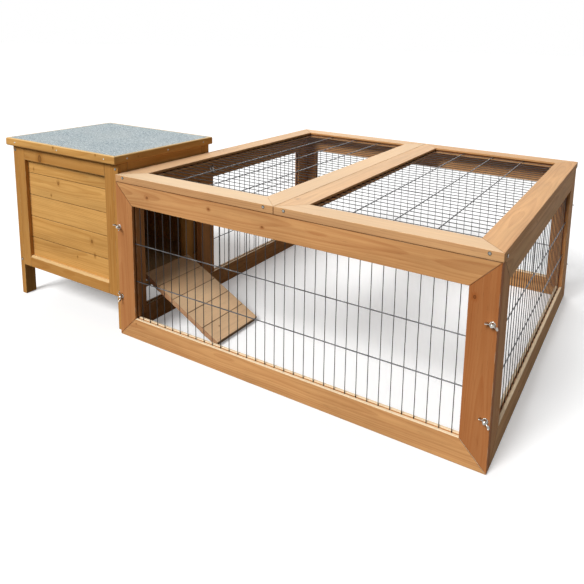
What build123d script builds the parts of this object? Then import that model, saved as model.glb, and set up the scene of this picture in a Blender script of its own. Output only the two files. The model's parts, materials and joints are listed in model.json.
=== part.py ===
from build123d import *
import math
import os

# Small animal house: a raised wooden hutch with a felt roof, joined to a low wire run.
# Millimetres. +X runs from the hutch to the run, +Y from the front to the back, +Z up.
# The plan is drawn from the run's front left corner on the floor, and every piece is
# moved at the end so that the origin is under the middle of the whole object.

# The run
run_length = 1080.0
run_depth = 1000.0
panel_height = 460.0
board_width = 62.0
board_thickness = 20.0
mid_stile_near = 324.0
lid_gap = 0.3
lid_right_overhang = 3.0
lid_seam = 1.0

# Welded wire mesh, held in a groove in the middle of each board's inner edge
fine_wire = 2.0
thick_wire = 3.0
wire_pitch = 28.7
groove_width = 5.4
groove_depth = 10.0
mesh_bite = 8.0
wall_thick_wires = 2
lid_thick_wires = 3

# The hutch
hutch_gap = 6.0
hutch_setback = 14.0
hutch_length = 488.0
hutch_depth = 380.0
hutch_height = 505.0
hutch_board = 20.0
post_width = 36.0
hutch_stile = 36.0
hutch_top_rail = 42.0
hutch_bottom_rail = 38.0
ground_clearance = 103.0
rail_bevel = 5.0
plank_thickness = 8.0
plank_pitch = 72.0
top_plank_shows = 43.0
rebate = 8.0
play = 0.4
floor_thickness = 12.0
bearer_size = 20.0

# Tongue and groove planks
plank_shoulder = 1.2
tongue_height = 5.0
tongue_share = 0.3
groove_share = 0.36

# Doorway in the hutch's right wall and the ramp under it, from the run's front face
door_near = 85.0
door_far = 276.0
jamb_width = 36.0
ramp_near = 90.0
ramp_far = 274.0
ramp_length = 318.0
ramp_thickness = 15.0
ramp_planks = 5
ramp_floor_gap = 1.0
ramp_start = 1.0
batten_width = 28.0
batten_thickness = 10.0
batten_inset = 8.0
batten_places = (40.0, 250.0)

# Roof: a mitred trim with a rebate that holds the deck and the felt
roof_gap = 0.3
roof_overhang = 14.0
roof_run_clearance = 1.5
trim_width = 20.0
trim_height = 25.0
trim_lip = 8.0
deck_thickness = 9.0
felt_thickness = 2.0

# Butt hinges
hinge_length = 50.0
leaf_width = 19.0
roof_leaf_width = 10.5
leaf_thickness = 1.2
knuckle_radius = 3.0
knuckle_side = 14.0
knuckle_slot = 0.5
knuckle_relief = 0.6
pin_radius = 1.6
pin_play = 0.05
pin_offset = 3.2
lid_hinge_inset = 90.0
roof_hinge_inset = 70.0
ramp_hinge_inset = 12.0

# Bolts with wing nuts
bolt_radius = 3.0
hole_play = 0.1
corner_bolt_grip = 55.0
coupling_bolt_grip = 42.0
hub_radius = 4.9
hub_height = 7.5
flange_radius = 6.5
flange_height = 1.6
wing_thickness = 2.4
bolt_tail = 4.0
spacer_radius = 8.0
wing_outline = [(4.0, 1.2), (9.6, 2.8), (14.5, 7.4), (14.4, 12.6), (11.6, 14.4), (7.8, 9.6), (4.0, 7.4)]
corner_bolt_heights = (120.0, 330.0)
left_nut_turns = (0.0, 61.0)
right_nut_turns = (52.0, 73.0)
coupling_nut_turn = 15.0
coupling_bolts = ((35.0, 75.0), (35.0, 410.0), (376.0, 31.0), (376.0, 429.0))

# Screws and nails
screw_head_radius = 4.0
screw_head_height = 1.2
screw_shank_radius = 1.8
lid_screw_length = 45.0
lid_screw_inset = 29.0
lid_side_screw_inset = 25.0
lid_screw_high = 13.5
lid_screw_low = 6.5
hutch_screw_length = 55.0
hutch_screw_heights = (120.0, 490.0)
nail_head_radius = 2.4
nail_head_height = 1.0
nail_shank_radius = 0.9
nail_length = 14.0
nail_inset = 45.0

# Places worked out from the driving dimensions
lid_bottom = panel_height + lid_gap
lid_total = run_length + lid_right_overhang
lid_length = (lid_total - lid_seam) / 2
hutch_right = -hutch_gap
hutch_left = hutch_right - hutch_length
hutch_front = hutch_setback
hutch_back = hutch_setback + hutch_depth
inner_left = hutch_left + hutch_board
inner_right = hutch_right - hutch_board
inner_front = hutch_front + hutch_board
inner_back = hutch_back - hutch_board
sill_top = ground_clearance + hutch_bottom_rail
head_bottom = hutch_height - hutch_top_rail
field_bottom = sill_top - rebate
field_top = head_bottom + rebate
roof_left = hutch_left - roof_overhang
roof_right = -roof_run_clearance
roof_front = hutch_front - roof_overhang
roof_back = hutch_back + roof_overhang
roof_bottom = hutch_height + roof_gap
roof_top = roof_bottom + trim_height
ramp_pin_x = hutch_right + pin_offset
ramp_pin_z = sill_top + ramp_start
left_end = roof_left - nail_head_height
right_end = lid_total + screw_head_height
centre_x = (left_end + right_end) / 2
centre_y = run_depth / 2

right = (1, 0, 0)
left = (-1, 0, 0)
backward = (0, 1, 0)
forward = (0, -1, 0)
up = (0, 0, 1)
down = (0, 0, -1)

pieces = {}


def block(x_range, y_range, z_range):
    """A solid block between the low and high edges given for each axis."""
    sides = [high - low for low, high in (x_range, y_range, z_range)]
    middles = [(low + high) / 2 for low, high in (x_range, y_range, z_range)]
    return Pos(*middles) * Box(*sides)


def prism(points, thickness):
    """A flat outline given a thickness towards +Z."""
    return extrude(Polygon(*points, align=None), thickness, dir=up)


def rod(start, direction, length, radius):
    """A round bar from a point along a direction."""
    return Plane(origin=start, z_dir=direction) * Pos(0, 0, length / 2) * Cylinder(radius, length)


def shifted(point, direction, distance):
    """The point that lies a distance away along a direction."""
    return tuple(p + distance * d for p, d in zip(point, direction))


def add(name, *solids):
    """Keep one or more separate solids under the name of their piece."""
    pieces.setdefault(name, []).extend(solids)


def boxes_meet(first, second):
    """True where the boxes around two shapes overlap."""
    one = first.bounding_box()
    two = second.bounding_box()
    return all(max(a, b) < min(c, d) for a, b, c, d in zip(one.min, two.min, one.max, two.max))


def drill(names, start, direction, length, radius):
    """Cut a round hole in the solids of the named pieces that the drill meets."""
    cutter = rod(start, direction, length, radius + hole_play)
    for name in names:
        pieces[name] = [solid - cutter if boxes_meet(solid, cutter) else solid for solid in pieces[name]]


def mitred_outlines(length, height, width):
    """The outlines of the bottom, top, near and far members of a mitred frame, in U and V."""
    far_u = length - width
    far_v = height - width
    return {
        "bottom": [(0, 0), (length, 0), (far_u, width), (width, width)],
        "top": [(width, far_v), (far_u, far_v), (length, height), (0, height)],
        "near": [(0, 0), (width, width), (width, far_v), (0, height)],
        "far": [(length, 0), (length, height), (far_u, far_v), (far_u, width)],
    }


def groove(u_range, v_range):
    """The saw groove that holds the mesh, as deep and wide as given, in the middle of a board."""
    middle = board_thickness / 2
    return block(u_range, v_range, (middle - groove_width / 2, middle + groove_width / 2))


def mitred_boards(length, height):
    """The four grooved boards of a mitred frame, drawn flat in U and V, with W as thickness."""
    outlines = mitred_outlines(length, height, board_width)
    slot_u = (board_width - groove_depth, length - board_width + groove_depth)
    slot_v = (board_width - groove_depth, height - board_width + groove_depth)
    ring = groove(slot_u, slot_v)
    return {side: prism(points, board_thickness) - ring for side, points in outlines.items()}


def wire(length, across):
    """One straight wire along Z, with eight flat sides."""
    return extrude(Rot(0, 0, 22.5) * RegularPolygon(across / 2, 8, major_radius=False), length)


def wire_mesh(u_range, v_range, thick_count, outer):
    """Fine wires along V at an even pitch, and a few thick wires along U, welded outside them.

    The ranges are the opening of the frame. outer is 1 where the outside of the frame is at
    the high end of W, and -1 where it is at the low end.
    """
    middle_w = board_thickness / 2
    fine_w = middle_w - outer * thick_wire / 2
    thick_w = middle_w + outer * fine_wire / 2
    u_length = u_range[1] - u_range[0] + 2 * mesh_bite
    v_length = v_range[1] - v_range[0] + 2 * mesh_bite
    pairs = int((u_length / 2 - fine_wire) / wire_pitch)
    middle_u = (u_range[0] + u_range[1]) / 2
    wires = []
    for index in range(-pairs, pairs + 1):
        place = Pos(middle_u + index * wire_pitch, v_range[0] - mesh_bite, fine_w)
        wires.append(place * Rot(-90, 0, 0) * wire(v_length, fine_wire))
    for index in range(thick_count):
        share = (index + 1) / (thick_count + 1)
        v = v_range[0] + share * (v_range[1] - v_range[0])
        place = Pos(u_range[0] - mesh_bite, v, thick_w)
        wires.append(place * Rot(0, 90, 0) * wire(u_length, thick_wire))
    return wires[0].fuse(*wires[1:])


def front_and_back_panels():
    """The two panels along X."""
    opening_u = (board_width, run_length - board_width)
    opening_v = (board_width, panel_height - board_width)
    front = Plane(origin=(0, board_thickness, 0), x_dir=right, z_dir=forward)
    back = Plane(origin=(0, run_depth, 0), x_dir=right, z_dir=forward)
    boards = mitred_boards(run_length, panel_height)
    add("front_top_rail", front * boards["top"])
    add("front_bottom_rail", front * boards["bottom"])
    add("front_left_stile", front * boards["near"])
    add("front_right_stile", front * boards["far"])
    add("back_rails", back * boards["bottom"], back * boards["top"])
    add("back_stiles", back * boards["near"], back * boards["far"])
    add("front_mesh", front * wire_mesh(opening_u, opening_v, wall_thick_wires, 1))
    add("back_mesh", back * wire_mesh(opening_u, opening_v, wall_thick_wires, -1))


def side_panels():
    """The two panels along Y, held between the front and back panels.

    The left one has an open front part, where the hutch's doorway is, and a middle stile.
    """
    length = run_depth - 2 * board_thickness
    opening_v = (board_width, panel_height - board_width)
    boards = mitred_boards(length, panel_height)
    right_x = run_length - board_thickness
    right_plane = Plane(origin=(right_x, board_thickness, 0), x_dir=backward, z_dir=right)
    left_plane = Plane(origin=(0, board_thickness, 0), x_dir=backward, z_dir=right)
    for side, plane in (("right", right_plane), ("left", left_plane)):
        add(side + "_rails", plane * boards["bottom"], plane * boards["top"])
        add(side + "_stiles", plane * boards["near"], plane * boards["far"])
    opening_u = (board_width, length - board_width)
    add("right_mesh", right_plane * wire_mesh(opening_u, opening_v, wall_thick_wires, 1))
    stile_near = mid_stile_near - board_thickness
    stile_far = stile_near + board_width
    stile = block((stile_near, stile_far), opening_v, (0, board_thickness))
    stile -= groove((stile_far - groove_depth, stile_far), opening_v)
    add("left_mid_stile", left_plane * stile)
    opening_u = (stile_far, length - board_width)
    add("left_mesh", left_plane * wire_mesh(opening_u, opening_v, wall_thick_wires, -1))


def lids():
    """Two mitred lids side by side on the run, with their thick wires along Y, on top."""
    lid_top = lid_bottom + board_thickness
    boards = mitred_boards(lid_length, run_depth)
    long_opening = (board_width, run_depth - board_width)
    short_opening = (board_width, lid_length - board_width)
    mesh = wire_mesh(long_opening, short_opening, lid_thick_wires, -1)
    for name, start in (("left_lid", 0.0), ("right_lid", lid_length + lid_seam)):
        flat = Plane(origin=(start, 0, lid_bottom), x_dir=right, z_dir=up)
        sides = ("near", "far") if start == 0.0 else ("far", "near")
        add(name + "_front_rail", flat * boards["bottom"])
        add(name + "_back_rail", flat * boards["top"])
        add(name + "_outer_rail", flat * boards[sides[0]])
        add(name + "_inner_rail", flat * boards[sides[1]])
        turned = Plane(origin=(start, 0, lid_top), x_dir=backward, z_dir=down)
        add(name + "_mesh", turned * mesh)


def swept(origin, along, upward, outline, length):
    """A bar with the same section all along.

    The outline is drawn as (height, thickness) pairs: height along upward, and thickness along
    the cross product of along and upward, which points out of the wall.
    """
    return Plane(origin=origin, x_dir=upward, z_dir=along) * prism(outline, length)


def bottom_rail_outline():
    """A hutch rail with a rebate for the planks and a bevelled outer edge, both on top."""
    height = hutch_bottom_rail
    return [
        (0, 0),
        (height - rebate, 0),
        (height - rebate, rebate),
        (height, rebate),
        (height, hutch_board - rail_bevel),
        (height - rail_bevel, hutch_board),
        (0, hutch_board),
    ]


def top_rail_outline():
    """A hutch rail with a rebate for the planks at its lower inner edge."""
    return [
        (rebate, 0),
        (hutch_top_rail, 0),
        (hutch_top_rail, hutch_board),
        (0, hutch_board),
        (0, rebate),
        (rebate, rebate),
    ]


def plank_outline(height, thickness, has_groove, has_tongue):
    """A plank's section, with small shoulders outside that make the joints show as lines."""
    middle = thickness / 2
    half_groove = groove_share * thickness / 2
    half_tongue = tongue_share * thickness / 2
    points = [(0, 0)]
    if has_groove:
        depth = tongue_height + play
        points += [(0, middle - half_groove), (depth, middle - half_groove)]
        points += [(depth, middle + half_groove), (0, middle + half_groove)]
    points += [(0, thickness - plank_shoulder), (plank_shoulder, thickness)]
    points += [(height - plank_shoulder, thickness), (height, thickness - plank_shoulder)]
    if has_tongue:
        top = height + tongue_height
        points += [(height, middle + half_tongue), (top, middle + half_tongue)]
        points += [(top, middle - half_tongue), (height, middle - half_tongue)]
    return points + [(height, 0)]


def planks(origin, along, upward, length, seams, thickness):
    """Planks laid edge to edge. seams are the heights of their edges above the origin."""
    laid = []
    count = len(seams) - 1
    for index in range(count):
        height = seams[index + 1] - seams[index] - play
        outline = plank_outline(height, thickness, index > 0, index < count - 1)
        laid.append(swept(shifted(origin, upward, seams[index]), along, upward, outline, length))
    return laid


def wall_seams():
    """The heights of the wall planks' edges above the bottom of the plank field."""
    seams = [field_top - play]
    seam = head_bottom - top_plank_shows
    while seam > field_bottom + plank_pitch / 2:
        seams.append(seam)
        seam -= plank_pitch
    seams.append(field_bottom + play)
    return [height - field_bottom for height in reversed(seams)]


def hutch_posts():
    """Four posts that are the stiles of the side walls and reach the floor as legs."""
    near = hutch_front + post_width
    far = hutch_back - post_width
    left_x = (hutch_left, inner_left)
    right_x = (inner_right, hutch_right)
    front_y = (hutch_front, near)
    back_y = (far, hutch_back)
    left_rebate = (inner_left - rebate, inner_left)
    right_rebate = (inner_right, inner_right + rebate)
    front_rebate = (near - rebate, near)
    back_rebate = (far, far + rebate)
    field = (field_bottom, field_top)
    height = (0, hutch_height)
    add("hutch_post_front_left", block(left_x, front_y, height) - block(left_rebate, front_rebate, field))
    add("hutch_post_back_left", block(left_x, back_y, height) - block(left_rebate, back_rebate, field))
    add("hutch_post_front_right", block(right_x, front_y, height))
    add("hutch_post_back_right", block(right_x, back_y, height) - block(right_rebate, back_rebate, field))


def hutch_long_wall(name, inner, along):
    """The front or back wall: two stiles, two rails and the planks behind them.

    inner is the place of the wall's inner face, and along points so that the outside is on
    the right hand of somebody who looks that way.
    """
    outward = -along[0]
    y_range = sorted((inner, inner + outward * hutch_board))
    rebate_y = sorted((inner, inner + outward * rebate))
    height = (ground_clearance, hutch_height)
    field = (field_bottom, field_top)
    left_edge = inner_left + hutch_stile
    right_edge = inner_right - hutch_stile
    left_stile = block((inner_left, left_edge), y_range, height)
    left_stile -= block((left_edge - rebate, left_edge), rebate_y, field)
    right_stile = block((right_edge, inner_right), y_range, height)
    right_stile -= block((right_edge, right_edge + rebate), rebate_y, field)
    start = left_edge if along == right else right_edge
    length = right_edge - left_edge
    bottom = swept((start, inner, ground_clearance), along, up, bottom_rail_outline(), length)
    top = swept((start, inner, head_bottom), along, up, top_rail_outline(), length)
    add("hutch_" + name + "_frame", left_stile, right_stile, bottom, top)
    origin = (start - along[0] * (rebate - play), inner, field_bottom)
    length += 2 * (rebate - play)
    add("hutch_" + name + "_planks", *planks(origin, along, up, length, wall_seams(), plank_thickness))


def hutch_left_wall():
    """The left wall: two rails between the posts, and its planks."""
    near = hutch_front + post_width
    far = hutch_back - post_width
    for bottom, outline in ((ground_clearance, bottom_rail_outline()), (head_bottom, top_rail_outline())):
        add("hutch_left_rails", swept((inner_left, far, bottom), forward, up, outline, far - near))
    origin = (inner_left, far + rebate - play, field_bottom)
    length = far - near + 2 * (rebate - play)
    add("hutch_left_planks", *planks(origin, forward, up, length, wall_seams(), plank_thickness))


def hutch_right_wall():
    """The right wall: two rails, two jambs beside the doorway, and a plank beside the far jamb."""
    near = hutch_front + post_width
    far = hutch_back - post_width
    x_range = (inner_right, hutch_right)
    add("hutch_right_rails", block(x_range, (near, far), (ground_clearance, sill_top)))
    add("hutch_right_rails", block(x_range, (near, far), (head_bottom, hutch_height)))
    jamb_far = door_far + jamb_width
    plank_x = (inner_right, inner_right + rebate)
    far_jamb = block(x_range, (door_far, jamb_far), (sill_top, head_bottom))
    far_jamb -= block(plank_x, (jamb_far - rebate, jamb_far), (sill_top, head_bottom))
    near_jamb = block(x_range, (near, door_near), (sill_top, head_bottom))
    add("hutch_doorway_jambs", near_jamb, far_jamb)
    plank_y = (jamb_far - rebate + play, far + rebate - play)
    add("hutch_doorway_plank", block(plank_x, plank_y, (sill_top + play, head_bottom - play)))


def hutch_floor():
    """A plywood floor level with the doorway's sill, on two bearers."""
    y_range = (inner_front + play, inner_back - play)
    x_range = (inner_left + play, inner_right - play)
    floor_bottom = sill_top - floor_thickness
    add("hutch_floor", block(x_range, y_range, (floor_bottom, sill_top)))
    z_range = (floor_bottom - bearer_size, floor_bottom)
    add("hutch_floor_bearers", block((inner_left, inner_left + bearer_size), y_range, z_range))
    add("hutch_floor_bearers", block((inner_right - bearer_size, inner_right), y_range, z_range))


def roof():
    """Four mitred trims with a rebate, and in it the deck with the felt on top."""
    base = Pos(roof_left, roof_front, roof_bottom)
    outlines = mitred_outlines(roof_right - roof_left, roof_back - roof_front, trim_width)
    pocket_x = (roof_left + trim_lip, roof_right - trim_lip)
    pocket_y = (roof_front + trim_lip, roof_back - trim_lip)
    deck_bottom = roof_top - deck_thickness - felt_thickness
    pocket = block(pocket_x, pocket_y, (deck_bottom, roof_top))
    names = {"bottom": "front", "top": "back", "near": "left", "far": "right"}
    for side, outline in outlines.items():
        add("roof_" + names[side] + "_trim", base * prism(outline, trim_height) - pocket)
    deck_x = (pocket_x[0] + play, pocket_x[1] - play)
    deck_y = (pocket_y[0] + play, pocket_y[1] - play)
    deck_top = roof_top - felt_thickness
    add("roof_deck", block(deck_x, deck_y, (deck_bottom, deck_top)))
    add("roof_felt", block(deck_x, deck_y, (deck_top, roof_top)))


def ramp_drop():
    """How far below level the ramp lies, in radians, with its end just off the floor."""
    end = ramp_start + ramp_length
    reach = math.hypot(end, pin_offset)
    lean = math.atan2(pin_offset, end)
    return math.asin((ramp_pin_z - ramp_floor_gap) / reach) + lean


def ramp():
    """Planks across the ramp, on two battens under it."""
    drop = ramp_drop()
    downhill = (math.cos(drop), 0, -math.sin(drop))
    outward = (math.sin(drop), 0, math.cos(drop))
    underside = shifted((ramp_pin_x, ramp_far, ramp_pin_z), outward, pin_offset)
    start = shifted(underside, downhill, ramp_start)
    pitch = ramp_length / ramp_planks
    seams = [pitch * index for index in range(ramp_planks)] + [ramp_length + play]
    width = ramp_far - ramp_near
    add("ramp_planks", *planks(start, forward, downhill, width, seams, ramp_thickness))
    slope = Plane(origin=underside, x_dir=downhill, z_dir=outward)
    for place in batten_places:
        along = (place, place + batten_width)
        across = (-width + batten_inset, -batten_inset)
        add("ramp_battens", slope * block(along, across, (-batten_thickness, 0)))


def hinge_leaf(width, side, knuckles):
    """One leaf in U, V, W: the pin along U, the leaf along V on the given side of the pin."""
    relief = knuckle_radius + knuckle_relief
    w_range = (-pin_offset, leaf_thickness - pin_offset)
    edges = sorted((side * relief, side * width))
    leaf = block((0, hinge_length), edges, w_range)
    for low, high in knuckles:
        leaf += block((low, high), sorted((0, side * relief)), w_range)
        leaf += rod((low, 0, 0), right, high - low, knuckle_radius)
    return leaf - rod((0, 0, 0), right, hinge_length, pin_radius + pin_play)


def hinge(name, start, upward, outward, turn, moving_width):
    """A butt hinge with its pin from start along the cross product of upward and outward.

    The fixed leaf hangs below the pin. The other one stands above it, and is then turned
    about the pin, from upward towards outward.
    """
    along = tuple(Vector(*upward).cross(Vector(*outward)))
    frame = Plane(origin=start, x_dir=along, z_dir=outward)
    far_side = hinge_length - knuckle_side
    fixed = hinge_leaf(leaf_width, -1, [(0, knuckle_side), (far_side, hinge_length)])
    middle = (knuckle_side + knuckle_slot, far_side - knuckle_slot)
    moving = Rot(turn, 0, 0) * hinge_leaf(moving_width, 1, [middle])
    add("hinge_fixed_leaves", frame * fixed)
    add(name + "_hinge_leaves", frame * moving)
    add("hinge_pins", frame * rod((0, 0, 0), right, hinge_length, pin_radius))


def hinges():
    """Two hinges for each lid, for the roof and for the ramp."""
    lid_pin_z = panel_height + lid_gap / 2
    for name, start in (("left_lid", 0.0), ("right_lid", lid_length + lid_seam)):
        for x in (start + lid_hinge_inset + hinge_length, start + lid_length - lid_hinge_inset):
            hinge(name, (x, run_depth + pin_offset, lid_pin_z), up, backward, 0, leaf_width)
    for x in (hutch_left + roof_hinge_inset + hinge_length, hutch_right - roof_hinge_inset):
        start = (x, hutch_back + pin_offset, roof_bottom - pin_offset)
        hinge("roof", start, up, backward, 90, roof_leaf_width)
    turn = 90 + math.degrees(ramp_drop())
    for y in (ramp_near + ramp_hinge_inset, ramp_far - ramp_hinge_inset - hinge_length):
        hinge("ramp", (ramp_pin_x, y, ramp_pin_z), up, right, turn, leaf_width)


def wing_nut(point, outward, turn):
    """A flanged hub with two wings, on a bolt that stands out of a face."""
    nut = rod((0, 0, 0), up, flange_height, flange_radius)
    nut += rod((0, 0, 0), up, hub_height, hub_radius)
    wing = Pos(0, wing_thickness / 2, 0) * Rot(90, 0, 0) * prism(wing_outline, wing_thickness)
    nut += wing
    nut += Rot(0, 0, 180) * wing
    nut -= rod((0, 0, 0), up, hub_height, bolt_radius + pin_play)
    return Plane(origin=point, z_dir=outward) * Rot(0, 0, turn) * nut


def clamp(point, outward, grip, turn, drilled):
    """A bolt with a wing nut outside the face, and its hole in the boards behind."""
    inward = tuple(-d for d in outward)
    tail = hub_height + bolt_tail
    drill(drilled, point, inward, grip + play, bolt_radius)
    add("clamp_bolts", rod(shifted(point, inward, grip), outward, grip + tail, bolt_radius))
    add("wing_nuts", wing_nut(point, outward, turn))


def clamps():
    """Bolts at the run's upright corners, and four that couple the run to the hutch."""
    sides = (
        ("left", board_thickness / 2, left_nut_turns),
        ("right", run_length - board_thickness / 2, right_nut_turns),
    )
    for side, x, turns in sides:
        front_stiles = (f"front_{side}_stile", f"{side}_stiles")
        back_stiles = ("back_stiles", f"{side}_stiles")
        for z, turn in zip(corner_bolt_heights, turns):
            clamp((x, 0, z), forward, corner_bolt_grip, turn, front_stiles)
            clamp((x, run_depth, z), backward, corner_bolt_grip, -turn, back_stiles)
    boards = ("left_stiles", "left_rails", "hutch_post_front_right", "hutch_post_back_right")
    for y, z in coupling_bolts:
        clamp((board_thickness, y, z), right, coupling_bolt_grip, coupling_nut_turn, boards)
        ring = rod((hutch_right, y, z), right, hutch_gap, spacer_radius)
        bore = rod((hutch_right, y, z), right, hutch_gap, bolt_radius + hole_play)
        add("clamp_bolts", ring - bore)


def driven(name, point, inward, length, drilled, head_radius, head_height, shank_radius):
    """A screw or nail driven into the drilled pieces, with its head on the surface."""
    drill(drilled, point, inward, length + play, shank_radius)
    head = rod(shifted(point, inward, -head_height), inward, head_height, head_radius)
    add(name, head + rod(point, inward, length, shank_radius))


def screw(name, point, inward, length, drilled):
    """A wood screw with a flat round head."""
    driven(name, point, inward, length, drilled, screw_head_radius, screw_head_height, screw_shank_radius)


def lid_screws():
    """Screws through the mitres of each lid, from the front, from the back and from outside."""
    high = lid_bottom + lid_screw_high
    low = lid_bottom + lid_screw_low
    for name, start, outer_x, inward in (
        ("left_lid", 0.0, 0.0, right),
        ("right_lid", lid_length + lid_seam, lid_total, left),
    ):
        boards = [name + part for part in ("_front_rail", "_back_rail", "_outer_rail", "_inner_rail")]
        for x in (start + lid_screw_inset, start + lid_length - lid_screw_inset):
            screw(name + "_screws", (x, 0, high), backward, lid_screw_length, boards)
            screw(name + "_screws", (x, run_depth, high), forward, lid_screw_length, boards)
        for y in (lid_side_screw_inset, run_depth - lid_side_screw_inset):
            screw(name + "_screws", (outer_x, y, low), inward, lid_screw_length, boards)


def hutch_screws():
    """Screws through the posts into the ends of the side walls' rails."""
    sides = (
        (hutch_left + hutch_board / 2, "left"),
        (hutch_right - hutch_board / 2, "right"),
    )
    for x, side in sides:
        for z in hutch_screw_heights:
            boards = ("hutch_post_front_" + side, "hutch_" + side + "_rails")
            screw("hutch_screws", (x, hutch_front, z), backward, hutch_screw_length, boards)
            boards = ("hutch_post_back_" + side, "hutch_" + side + "_rails")
            screw("hutch_screws", (x, hutch_back, z), forward, hutch_screw_length, boards)


def roof_nails():
    """Three nails in each trim of the roof."""
    z = roof_bottom + trim_height / 2
    middle_x = (roof_left + roof_right) / 2
    middle_y = (roof_front + roof_back) / 2
    nails = []
    for x in (roof_left + nail_inset, middle_x, roof_right - nail_inset):
        nails.append(("roof_front_trim", (x, roof_front, z), backward))
        nails.append(("roof_back_trim", (x, roof_back, z), forward))
    for y in (roof_front + nail_inset, middle_y, roof_back - nail_inset):
        nails.append(("roof_left_trim", (roof_left, y, z), right))
        nails.append(("roof_right_trim", (roof_right, y, z), left))
    for trim, point, inward in nails:
        head = (nail_head_radius, nail_head_height, nail_shank_radius)
        driven("roof_nails", point, inward, nail_length, (trim,), *head)


def export():
    """Move every piece so that the origin is under the middle, and write one file each."""
    os.makedirs("parts", exist_ok=True)
    centred = Pos(-centre_x, -centre_y, 0)
    for name, solids in pieces.items():
        moved = [centred * solid for solid in solids]
        shape = moved[0] if len(moved) == 1 else Compound(children=moved)
        export_step(shape, f"parts/{name}.step")


front_and_back_panels()
side_panels()
lids()
hutch_posts()
hutch_long_wall("front", inner_front, right)
hutch_long_wall("back", inner_back, left)
hutch_left_wall()
hutch_right_wall()
hutch_floor()
roof()
ramp()
hinges()
clamps()
lid_screws()
hutch_screws()
roof_nails()
export()
print("ramp lies", round(math.degrees(ramp_drop()), 2), "degrees below level")
print("origin is at", round(centre_x, 2), round(centre_y, 2), "from the run's front left corner")
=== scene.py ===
import json
import math
import random

import bmesh
import bpy
from mathutils import Matrix, Vector

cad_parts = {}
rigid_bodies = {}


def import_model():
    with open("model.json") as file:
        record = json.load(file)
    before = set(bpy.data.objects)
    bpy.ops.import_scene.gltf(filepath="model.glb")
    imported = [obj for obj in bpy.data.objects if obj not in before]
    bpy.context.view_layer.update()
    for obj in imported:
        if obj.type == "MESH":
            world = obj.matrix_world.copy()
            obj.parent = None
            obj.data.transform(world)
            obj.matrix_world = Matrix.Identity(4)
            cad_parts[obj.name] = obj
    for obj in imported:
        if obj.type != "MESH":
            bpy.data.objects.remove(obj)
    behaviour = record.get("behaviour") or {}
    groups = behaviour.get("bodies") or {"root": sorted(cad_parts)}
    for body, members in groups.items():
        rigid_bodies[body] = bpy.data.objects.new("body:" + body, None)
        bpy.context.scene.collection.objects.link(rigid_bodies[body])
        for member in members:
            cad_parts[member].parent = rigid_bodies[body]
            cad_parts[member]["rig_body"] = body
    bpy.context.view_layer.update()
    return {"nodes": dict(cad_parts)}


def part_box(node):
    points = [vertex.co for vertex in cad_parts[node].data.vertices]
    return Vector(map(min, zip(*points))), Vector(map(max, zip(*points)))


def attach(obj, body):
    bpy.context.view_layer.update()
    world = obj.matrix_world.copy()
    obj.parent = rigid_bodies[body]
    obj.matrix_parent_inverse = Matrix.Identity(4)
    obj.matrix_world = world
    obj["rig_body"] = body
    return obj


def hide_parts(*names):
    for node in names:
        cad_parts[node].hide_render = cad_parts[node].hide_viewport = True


# Looks for a small animal house: a wooden hutch with a felt roof, joined to a wire run.
# Metres, in the frame's own coordinates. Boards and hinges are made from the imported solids
# that they replace, and roof trims, wires and felt from those solids' boxes. Screws, nails,
# bolts and wing nuts stand where their solids stand. Each rides on its solid's body.

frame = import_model()

# Boards and trims, in metres
WELD_GAP = 1e-5
BOARD_EDGE = 0.0011
PLANK_EDGE = 0.0004
PLYWOOD_EDGE = 0.0008
SHORTEST_ROUNDED = 0.006
NOSE_RADIUS = 0.0045
NOSE_STEPS = 5
TRIM_LIP = 0.008
TRIM_POCKET = 0.011
TRIM_EDGE = 0.0006

# Wire mesh and felt, in metres
FINE_WIRE = 0.002
THICK_WIRE = 0.003
WIRE_PITCH = 0.0287
MESH_BITE = 0.008
FINE_SWAY = 0.0003
THICK_SWAY = 0.00025
WELD_RADIUS = 0.0015
WELD_SINK = 0.0001
GRANULE = 0.0032
GRANULE_DEPTH = 0.0005

# Fittings, in metres. The cross in a screw head is in shares of the head's radius.
SCREW_HEAD = 0.004
SCREW_HEIGHT = 0.0012
SHANK_RADIUS = 0.0018
CROSS_REACH = 0.62
CROSS_HALF = 0.15
CROSS_DEPTH = 0.0009
BOLT_RADIUS = 0.003
THREAD_BOTTOM = 0.0026
THREAD_PITCH = 0.001
THREAD_REACH = 0.014
COLLAR_RADIUS = 0.008
COLLAR_FACE = 0.0076
COLLAR_EDGE = 0.0004
LONGEST_COLLAR = 0.02
LEAF_THICKNESS = 0.0012
LEAF_EDGE = 0.0003
SHORTEST_LEAF_EDGE = 0.009
LEAF_SWELL = 0.008
LEAF_SCREW = 0.0024
LEAF_SCREW_HEIGHT = 0.0007
LEAF_SCREW_PROUD = 0.0005
KNUCKLE_REACH = 0.003
KNUCKLE_CREST = 0.0003

# Wood: rings to a metre and how fast they change, how far they stray, and how close each
# pattern is drawn along, across and through a board
RINGS = 250.0
YEARS = 90.0
RING_DRIFT = 0.022
TREE_TAPER = 0.012
KNOT_WOBBLE = 0.0016
DRIFT_STRETCH = (2.2, 9.0, 9.0)
FIBRE_STRETCH = (9.0, 520.0, 520.0)
STREAK_STRETCH = (1.6, 75.0, 75.0)
BLOTCH_STRETCH = (3.0, 11.0, 11.0)
PORE_STRETCH = (38.0, 950.0, 950.0)

# How boards differ: the pith's depth, the radii of chance knots, the spread of tones, how
# near a chosen knot has to be, and a knot that lies off every board
PITH_DEPTHS = (0.022, 0.07)
WILD_KNOT_RADII = (0.0013, 0.0028)
PLANK_TONES = 0.11
BOARD_TONES = 0.06
KNOT_MARGIN = 0.004
NO_KNOT = (9.0, 9.0, 0.001)

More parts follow.
